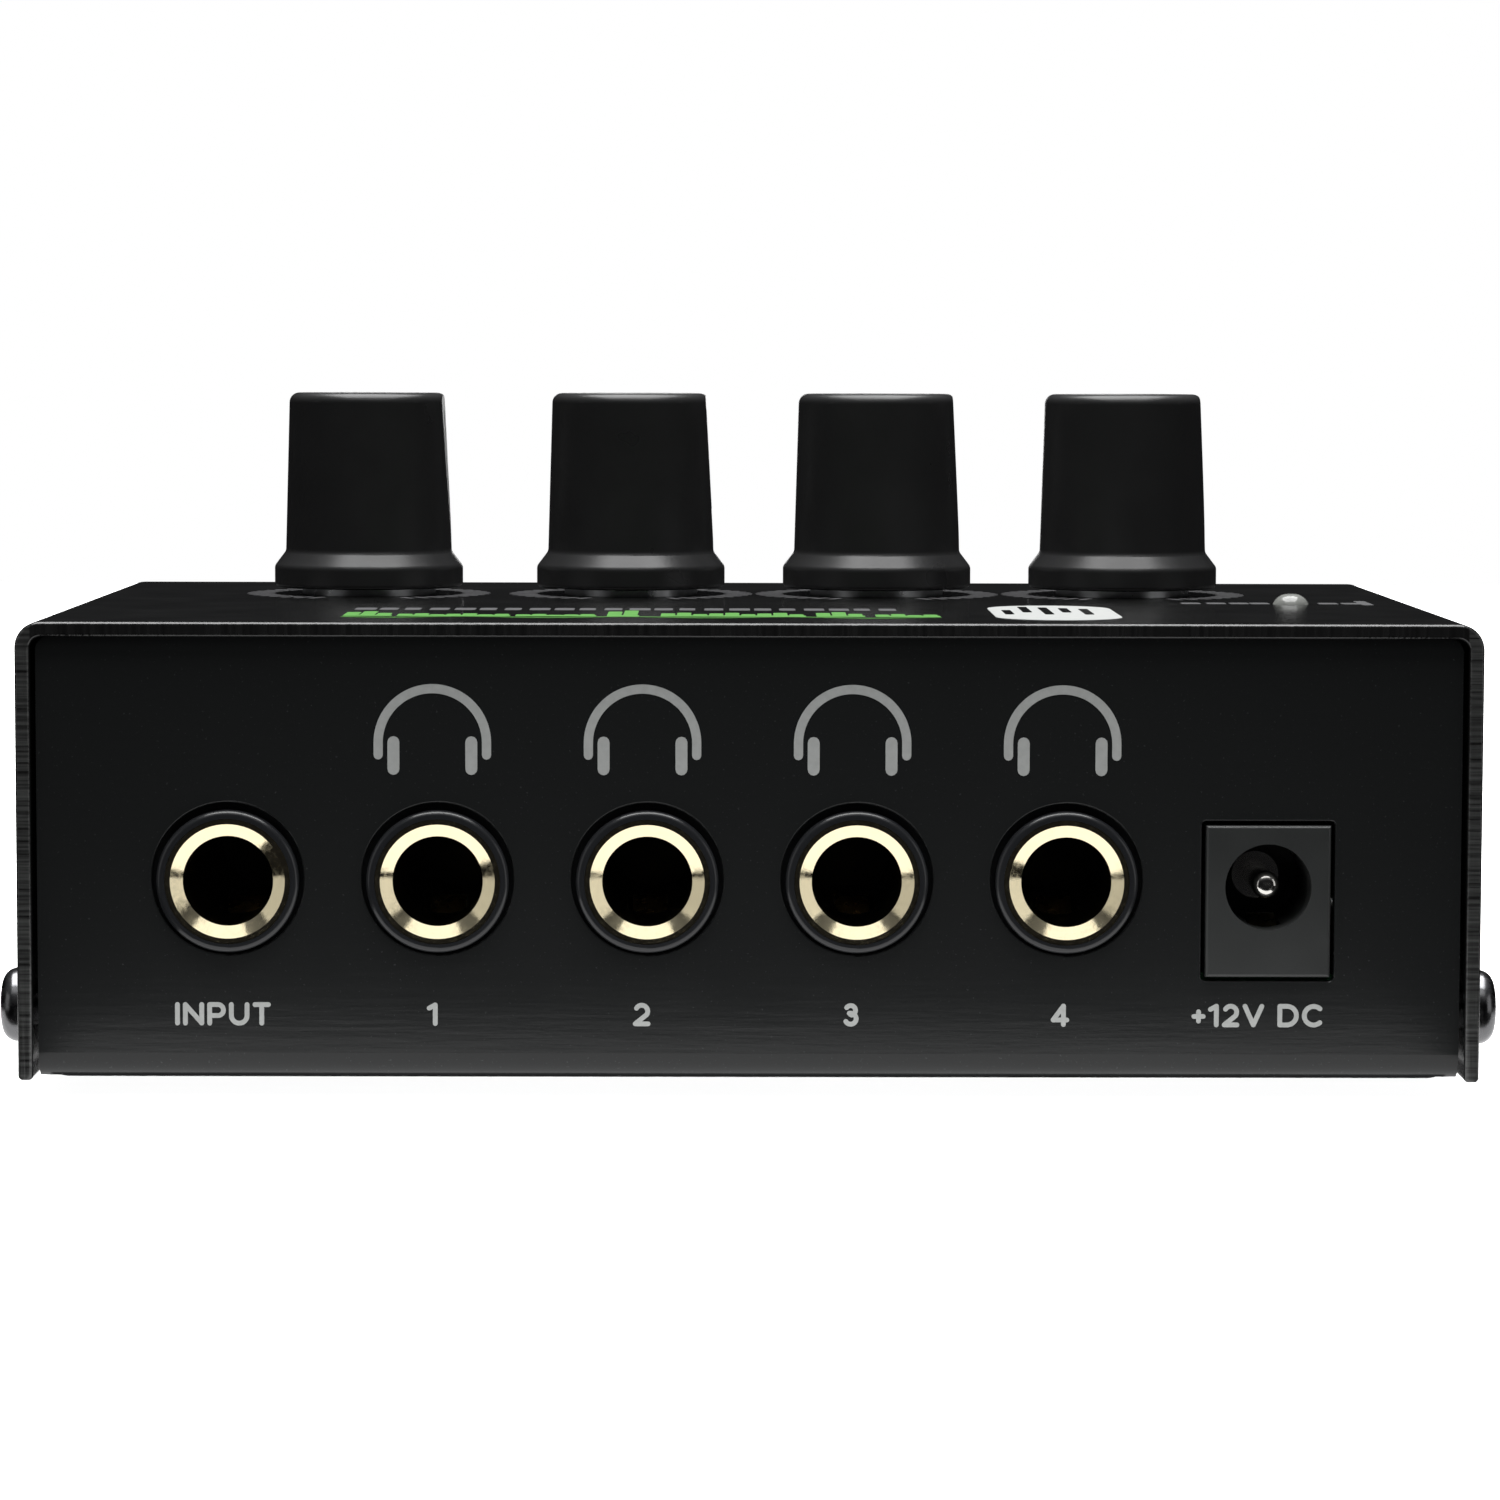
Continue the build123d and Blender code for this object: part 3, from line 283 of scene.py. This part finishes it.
finishes = [
    cover_paint(),
    chassis_paint(),
    metal("black_nickel", (0.16, 0.16, 0.165), 0.25),
    metal("zinc_plate", (0.62, 0.63, 0.64), 0.34),
    plastic("foot_rubber", (0.016, 0.016, 0.016), 0.75, 0.5, 0.03),
    plastic("jack_plastic", (0.018, 0.019, 0.021), 0.20, 0.3, 0.006),
    gold_plate(),
    metal("spring_metal", (0.60, 0.52, 0.36), 0.30, (12, 1, 1)),
    plastic("inlet_plastic", (0.031, 0.033, 0.0325), 0.42),
    metal("nickel_plate", (0.74, 0.72, 0.68), 0.14),
    plastic("knob_plastic", (0.0195, 0.0195, 0.0198), 0.32, 0.3, 0.008, Specular_IOR_Level=0.40),
    metal("shaft_aluminium", (0.70, 0.70, 0.71), 0.35, (12, 12, 1)),
    plastic("pot_plastic", (0.050, 0.045, 0.038), 0.55),
    metal("tinned_leads", (0.66, 0.66, 0.65), 0.30),
    circuit_board(),
    plastic("chip_plastic", (0.020, 0.020, 0.020), 0.55),
    plastic("capacitor_sleeve", (0.020, 0.030, 0.085), 0.22),
    plastic("resistor_lacquer", (0.24, 0.42, 0.52), 0.25),
    lens(),
    plastic("spacer_plastic", (0.025, 0.025, 0.025), 0.5),
]
materials = {finish.material.name: finish.material for finish in finishes}
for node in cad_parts.values():
    for slot in node.material_slots:
        slot.material = materials[slot.material.name.removesuffix(".plain")]

grey_ink = ink("grey_ink", (0.56, 0.575, 0.56)).material
dim_ink = ink("dim_ink", (0.085, 0.085, 0.088)).material
green_ink = ink("green_ink", (0.085, 0.27, 0.05)).material
white_ink = ink("white_ink", (0.42, 0.43, 0.42)).material

# ---------------------------------------------------------------------------------------------
# Printed marks: flat outlines in millimetres, joined into one thin solid for each mark
# ---------------------------------------------------------------------------------------------

INK_PROUD = 0.03
INK_SUNK = 0.02
ROUND_STEPS = 24


def disc(centre, radius, steps=ROUND_STEPS):
    turns = [2 * math.pi * i / steps for i in range(steps)]
    return [(centre[0] + radius * math.cos(a), centre[1] + radius * math.sin(a)) for a in turns]


def rectangle(x, y, width, height):
    """Rectangle from its lower left corner."""
    return [(x, y), (x + width, y), (x + width, y + height), (x, y + height)]


def rounded(x, y, width, height, radius):
    """Rounded rectangle from its lower left corner, as the outlines that cover it."""
    corners = [
        (x + radius + right * (width - 2 * radius), y + radius + up * (height - 2 * radius))
        for right in (0, 1)
        for up in (0, 1)
    ]
    outlines = [disc(corner, radius) for corner in corners]
    outlines.append(rectangle(x + radius, y, width - 2 * radius, height))
    outlines.append(rectangle(x, y + radius, width, height - 2 * radius))
    return outlines


def arc(centre, radius, start, end, steps=ROUND_STEPS):
    """Points along an arc, angles in degrees."""
    turns = [math.radians(start + (end - start) * i / steps) for i in range(steps + 1)]
    return [(centre[0] + radius * math.cos(a), centre[1] + radius * math.sin(a)) for a in turns]


def pen(path, width, round_ends=True):
    """Outlines of a line of one width along a path: a box for each run, a disc at each bend."""
    outlines = []
    for (x0, y0), (x1, y1) in zip(path, path[1:]):
        length = math.hypot(x1 - x0, y1 - y0)
        side_x = -(y1 - y0) / length * width / 2
        side_y = (x1 - x0) / length * width / 2
        outlines.append(
            [
                (x0 - side_x, y0 - side_y),
                (x1 - side_x, y1 - side_y),
                (x1 + side_x, y1 + side_y),
                (x0 + side_x, y0 + side_y),
            ]
        )
    for bend in path if round_ends else path[1:-1]:
        outlines.append(disc(bend, width / 2, 12))
    return outlines


def mark(name, outlines, origin, right, up, material, body="case", proud=INK_PROUD):
    """Joins the outlines and makes them a thin solid on a plane through origin."""
    points = []
    loops = []
    for outline in outlines:
        loops.append(list(range(len(points), len(points) + len(outline))))
        points += [Vector(point) for point in outline]
    flat, _, faces, _, _, owners = delaunay_2d_cdt(points, [], loops, 0, 1e-5)
    faces = [face for face, owner in zip(faces, owners) if owner]
    used = sorted({index for face in faces for index in face})
    renumbered = {old: new for new, old in enumerate(used)}
    outward = right.cross(up)
    surface = origin + outward * proud
    corners = [(surface + right * flat[i].x + up * flat[i].y) * MM for i in used]
    mesh = bpy.data.meshes.new(name)
    mesh.from_pydata(corners, [], [[renumbered[i] for i in face] for face in faces])
    mesh.materials.append(material)
    made = bpy.data.objects.new(name, mesh)
    bpy.context.scene.collection.objects.link(made)
    sheet = made.modifiers.new("ink", "SOLIDIFY")
    sheet.thickness = (proud + INK_SUNK) * MM
    sheet.offset = -1
    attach(made, body)
    return made


# Lettering for the connectors: one pen width, as shares of the capital height

PEN = 0.205
HALF = PEN / 2


def glyph(letter):
    """Width of a letter or numeral and the paths of its pen, with capitals one unit high."""
    top = 1 - HALF
    if letter == "I":
        return PEN, [[(HALF, HALF), (HALF, top)]]
    if letter == "N":
        width = 0.90
        return width, [[(HALF, HALF), (HALF, top), (width - HALF, HALF), (width - HALF, top)]]
    if letter == "P":
        width, bowl = 0.79, 0.235
        bend = (width - HALF - bowl, top - bowl)
        around = arc(bend, bowl, 90, -90)
        return width, [[(HALF, HALF), (HALF, top), *around, (HALF, top - 2 * bowl)]]
    if letter == "U":
        width = 0.87
        bowl = width / 2 - HALF
        around = arc((width / 2, HALF + bowl), bowl, 180, 360)
        return width, [[(HALF, top), *around, (width - HALF, top)]]
    if letter == "T":
        width = 0.78
        return width, [[(HALF, top), (width - HALF, top)], [(width / 2, HALF), (width / 2, top)]]
    if letter == "D":
        width, bowl = 0.91, 0.5 - HALF
        bend = (width - HALF - bowl, 0.5)
        return width, [[(HALF, HALF), (HALF, top), *arc(bend, bowl, 90, -90), (HALF, HALF)]]
    if letter == "C":
        width, bowl = 0.87, 0.5 - HALF
        return width, [arc((0.5, 0.5), bowl, 48, 312)]
    if letter == "V":
        width = 0.92
        return width, [[(HALF, top), (width / 2, HALF), (width - HALF, top)]]
    if letter == "+":
        width, reach = 0.56, 0.28 - HALF * 0.8
        return width, [
            [(0.28 - reach, 0.46), (0.28 + reach, 0.46)],
            [(0.28, 0.46 - reach), (0.28, 0.46 + reach)],
        ]
    if letter == "1":
        width = 0.45
        return width, [[(HALF * 0.9, 0.76), (width - HALF, top), (width - HALF, HALF)]]
    if letter == "2":
        width, bowl = 0.75, 0.255
        bend = (0.375, top - bowl)
        return width, [[*arc(bend, bowl, 150, -38), (HALF, HALF), (width - HALF, HALF)]]
    if letter == "3":
        width, bowl, lower = 0.74, 0.205, 0.235
        upper_bend = (0.36, top - bowl)
        lower_bend = (0.36, HALF + lower)
        return width, [
            [*arc(upper_bend, bowl, 145, -80), (0.30, HALF + 2 * lower)],
            arc(lower_bend, lower, 95, -150),
        ]
    if letter == "4":
        width = 0.79
        return width, [
            [(0.54, HALF), (0.54, top), (HALF, 0.30), (width - HALF, 0.30)],
        ]
    return 0.30, []


def legend(text, height, gap=0.13):
    """Outlines of a line of text, centred across and standing on y = 0, in millimetres."""
    placed = []
    reach = 0
    for letter in text:
        width, paths = glyph(letter)
        placed += [(reach, path) for path in paths]
        reach += width + gap
    shift = -(reach - gap) / 2
    outlines = []
    for offset, path in placed:
        moved = [((x + offset + shift) * height, y * height) for x, y in path]
        outlines += pen(moved, PEN * height)
    return outlines


RIGHT = Vector((1, 0, 0))
UP = Vector((0, 0, 1))
BACK = Vector((0, 1, 0))

LEGEND_HEIGHT = 1.72
LEGEND_RISE = 4.0  # above the case's underside
PICTOGRAM_TOP = 29.0  # above the case's underside
jack_legends = {"input": "INPUT", "1": "1", "2": "2", "3": "3", "4": "4"}
LEGEND_SHIFT = -0.4  # of each legend from its jack's axis
PICTOGRAM_SHIFT = -0.35

DC_LEGEND_SHIFT = -0.7


def on_panel(x, rise):
    return Vector((x, panel_y, base_z + rise))


def label(name, text, x):
    outlines = legend(text, LEGEND_HEIGHT)
    mark(name, outlines, on_panel(x, LEGEND_RISE), RIGHT, UP, grey_ink)


for jack, text in jack_legends.items():
    label(f"legend_{jack}", text, middle(f"jack_sleeve_{jack}").x + LEGEND_SHIFT)
label("legend_dc", "+12V DC", middle("dc_inlet_housing").x + DC_LEGEND_SHIFT)


def headphones():
    """Pictogram of a pair of headphones: a band with straight arms, and two pads."""
    line, span, arms = 0.67, 8.54, 5.5
    pad_x, pad_width, pad_height, pad_top = 2.83, 0.87, 2.82, 3.8
    radius = (span - line) / 2
    bend = (0, -line / 2 - radius)
    band = [(radius, line / 2 - arms), *arc(bend, radius, 0, 180, 48), (-radius, line / 2 - arms)]
    outlines = pen(band, line)
    for side in (-1, 1):
        ends = [(side * pad_x, -pad_top - pad_width / 2)]
        ends.append((side * pad_x, -pad_top - pad_height + pad_width / 2))
        outlines += pen(ends, pad_width)
    return outlines


for jack in ("1", "2", "3", "4"):
    place = on_panel(middle(f"jack_sleeve_{jack}").x + PICTOGRAM_SHIFT, PICTOGRAM_TOP)
    mark(f"pictogram_{jack}", headphones(), place, RIGHT, UP, grey_ink)

# Marks on the top. They are read from the user's side, and places are from the front edge.


def on_top(x, depth):
    return Vector((x, front_y + depth, top_z))


# green level bars in a few broad groups, each given by its left end, its number of bars and
# their mean height, over one thin wavy line
BAR_GROUPS = (
    (-30.2, 3, 5.5),
    (-26.2, 7, 3.2),
    (-17.4, 5, 2.6),
    (-10.6, 2, 7.0),
    (-6.6, 9, 4.5),
    (5.0, 3, 5.5),
    (9.4, 4, 3.4),
)
BAR_WIDTH = 1.05
BAR_PITCH = 1.2
BAR_DEPTH = 8.6  # of the bars' feet behind the front edge
bars = []
for start, count, tall in BAR_GROUPS:
    for i in range(count):
        height = tall * (1 + 0.25 * math.sin(2.1 * i))
        bars += rounded(start + i * BAR_PITCH, 0, BAR_WIDTH, height, 0.3)
    bars += rounded(start, 0, count * BAR_PITCH, 1.8, 0.3)
wave = [(-30 + 0.8 * i, -0.9 - 0.8 * math.sin(0.42 * i)) for i in range(56)]
bars += pen(wave, 0.5)
mark("level_bars", bars, on_top(0, BAR_DEPTH), RIGHT, BACK, green_ink)

# a row of small dashes behind the bars
DASHES = 22
DASH_START = -30
DASH_PITCH = 1.9
DASH_DEPTH = 17.5  # behind the front edge
dashes = []
for i in range(DASHES):
    dashes += rounded(DASH_START + i * DASH_PITCH, 0, 1.4 + 0.2 * math.cos(i * 1.7), 3.2, 0.4)
mark("dash_row", dashes, on_top(0, DASH_DEPTH), RIGHT, BACK, dim_ink)

# a plain white badge with dark stripes
badge_place = on_top(0, 4.5)
badge = rounded(18.3, 0, 9.4, 21.5, 4.6)
mark("badge", badge, badge_place, RIGHT, BACK, white_ink)
stripes = []
for i in range(5):
    stripes += rounded(19.2 + i * 1.5, 8 + (i % 2) * 3, 0.7, 6 + (i % 3) * 2, 0.3)
stripe_ink = materials["cover_paint"]
mark(
    "badge_stripes", stripes, badge_place, RIGHT, BACK, stripe_ink,
    proud=2 * INK_PROUD,
)

# marks round the power light
light_marks = []
for x in (-8.6, -6.6, -4.8, -3.2, 2.2, 4.0):
    light_marks += rounded(x, -0.9, 1.5, 2.2, 0.4)
light_marks += rounded(5.4, -2.2, 0.9, 6.4, 0.4)
light_place = Vector((led.x, led.y, top_z))
mark("light_marks", light_marks, light_place, RIGHT, BACK, dim_ink)

# a scale of ticks round each knob, open in the middle of its sweep and below it
SCALE_RADII = (7.9, 9.6)
SCALE_OPENING = 24  # half of the angle of the gap on the jack panel's side
SCALE_REACH = 150  # from the middle of the sweep to its end
TICKS = 16  # on each side
for number, knob in knobs.items():
    scale = []
    for side in (-1, 1):
        start = -90 + side * SCALE_OPENING
        end = -90 + side * SCALE_REACH
        for step in range(TICKS):
            a = math.radians(start + (end - start) * step / (TICKS - 1))
            ends = [(r * math.cos(a), r * math.sin(a)) for r in SCALE_RADII]
            scale += pen(ends, 0.6)
    place = Vector((knob.x, knob.y, top_z))
    mark(f"scale_{number}", scale, place, RIGHT, BACK, dim_ink)

# the painted line down each knob's flat
FLAT_TOP_X = 6.05  # from the knob's axis
FLAT_FOOT_X = 6.72
FLAT_TOP = 16.3  # above the case's top
FLAT_FOOT = 3.95
for number, knob in knobs.items():
    foot = Vector((knob.x + FLAT_FOOT_X, knob.y, top_z + FLAT_FOOT))
    up = Vector((FLAT_TOP_X - FLAT_FOOT_X, 0, FLAT_TOP - FLAT_FOOT))
    length = up.length
    line = rounded(-0.35, 3.0, 0.7, length - 4.2, 0.3)
    mark(
        f"pointer_{number}", line, foot, BACK, up.normalized(), white_ink,
        body=f"level_{number}", proud=0.02,
    )

# ---------------------------------------------------------------------------------------------
# Stage: floor, lights and camera
# ---------------------------------------------------------------------------------------------

scene = bpy.context.scene
scene.view_settings.view_transform = "Standard"


def plane(name, width, depth, place, material):
    w, d = width / 2, depth / 2
    mesh = bpy.data.meshes.new(name)
    mesh.from_pydata([(-w, -d, 0), (w, -d, 0), (w, d, 0), (-w, d, 0)], [], [(0, 1, 2, 3)])
    mesh.materials.append(material)
    made = bpy.data.objects.new(name, mesh)
    made.location = place
    scene.collection.objects.link(made)
    return made


paper = Finish("paper", (0.90, 0.90, 0.90), 0.9, Specular_IOR_Level=0.2)
paper.tint(paper.noise(40, 3), 0.015)
paper.bump(paper.noise(2, 2), 0.02, 0.2)
floor = plane("floor", 1.6, 1.6, (0, 0, 0), paper.material)
floor.visible_glossy = False
floor.visible_diffuse = False


def soft_light(name, place, aim, width, depth, power):
    data = bpy.data.lights.new(name, "AREA")
    data.shape = "RECTANGLE"
    data.size = width
    data.size_y = depth
    data.energy = power
    made = bpy.data.objects.new(name, data)
    made.location = place
    made.rotation_euler = (Vector(aim) - Vector(place)).to_track_quat("-Z", "Y").to_euler()
    made.visible_camera = False
    scene.collection.objects.link(made)
    return made


# places in metres and powers in watts
soft_light("ceiling", (0, 0.05, 0.8), (0, 0, 0), 0.8, 0.8, 16)
soft_light("front_top", (0, -0.6, 0.75), (0, 0, 0.02), 0.9, 0.3, 0.9)

# a low card behind for the knobs' tops, and one at each side for the jacks and the case's edges
rim = soft_light("rim", (0, 0.8, 0.09), (0, 0, 0.045), 0.2, 0.12, 0.25)
sides = [
    soft_light("left_side", (-0.7, -0.4, 0.14), (0, 0, 0.03), 0.45, 0.55, 0.4),
    soft_light("right_side", (0.7, -0.4, 0.14), (0, 0, 0.03), 0.45, 0.55, 0.6),
]
knobs_only = bpy.data.collections.new("knobs_only")
jack_side = bpy.data.collections.new("jack_side")
for name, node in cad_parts.items():
    if name.startswith("knob_"):
        knobs_only.objects.link(node)
    if name.startswith(("jack_", "dc_inlet", "base_chassis", "top_cover", "cover_screws")):
        jack_side.objects.link(node)
rim.light_linking.receiver_collection = knobs_only
for side in sides:
    side.light_linking.receiver_collection = jack_side

# a strip beside each wall of the case, for the light that a white table throws back up
STRIP = 34  # millimetres wide
UNDER = 2  # of that under the case
STRIP_RISE = 0.3  # above the floor
BOUNCE = 1.3  # brightness of the strips
for name, x, y, width, depth in (
    ("front", 0, front_y + UNDER - STRIP / 2, cover_high.x * 2, STRIP),
    ("back", 0, back_y - UNDER + STRIP / 2, cover_high.x * 2, STRIP),
    ("left", cover_low.x + UNDER - STRIP / 2, 0, STRIP, (back_y - UNDER) * 2),
    ("right", cover_high.x - UNDER + STRIP / 2, 0, STRIP, (back_y - UNDER) * 2),
):
    place = Vector((x, y, STRIP_RISE)) * MM
    power = BOUNCE * math.pi * width * depth * MM * MM
    soft_light(f"bounce_{name}", place, place + UP, width * MM, depth * MM, power)

sun_data = bpy.data.lights.new("sun", "SUN")
sun_data.energy = 5.6
sun_data.angle = math.radians(60)
sun_data.use_shadow = False
sun = bpy.data.objects.new("sun", sun_data)
scene.collection.objects.link(sun)
lit_by_sun = bpy.data.collections.new("lit_by_sun")
lit_by_sun.objects.link(floor)
sun.light_linking.receiver_collection = lit_by_sun

world = bpy.data.worlds.new("world")
scene.world = world
world.use_nodes = True
world_nodes = world.node_tree.nodes
world_links = world.node_tree.links
seen = world_nodes["Background"]
seen.inputs["Color"].default_value = (1, 1, 1, 1)
seen.inputs["Strength"].default_value = 1.0
lighting = world_nodes.new("ShaderNodeBackground")
lighting.inputs["Strength"].default_value = 1.0
direction = world_nodes.new("ShaderNodeTexCoord")
split = world_nodes.new("ShaderNodeSeparateXYZ")
ramp = world_nodes.new("ShaderNodeValToRGB")
ramp.color_ramp.elements[0].position = 0.3
ramp.color_ramp.elements[0].color = (0.008, 0.008, 0.0085, 1)
ramp.color_ramp.elements[1].position = 1.0
ramp.color_ramp.elements[1].color = (0.25, 0.255, 0.265, 1)
world_links.new(direction.outputs["Generated"], split.inputs[0])
world_links.new(split.outputs["Z"], ramp.inputs["Fac"])
world_links.new(ramp.outputs["Color"], lighting.inputs["Color"])
path = world_nodes.new("ShaderNodeLightPath")
choice = world_nodes.new("ShaderNodeMixShader")
world_links.new(path.outputs["Is Camera Ray"], choice.inputs[0])
world_links.new(lighting.outputs[0], choice.inputs[1])
world_links.new(seen.outputs[0], choice.inputs[2])
world_links.new(choice.outputs[0], world_nodes["World Output"].inputs["Surface"])

camera_data = bpy.data.cameras.new("camera")
camera_data.sensor_width = 36
camera_data.lens = 117.73
camera_data.clip_start = 0.01
camera_data.clip_end = 20
camera = bpy.data.objects.new("camera", camera_data)
camera.location = Vector((-1.69, front_y - 354.8, top_z + 18.95)) * MM
camera.rotation_euler = Euler([math.radians(turn) for turn in (90 - 4.538, -0.135, -0.265)])
scene.collection.objects.link(camera)
scene.camera = camera
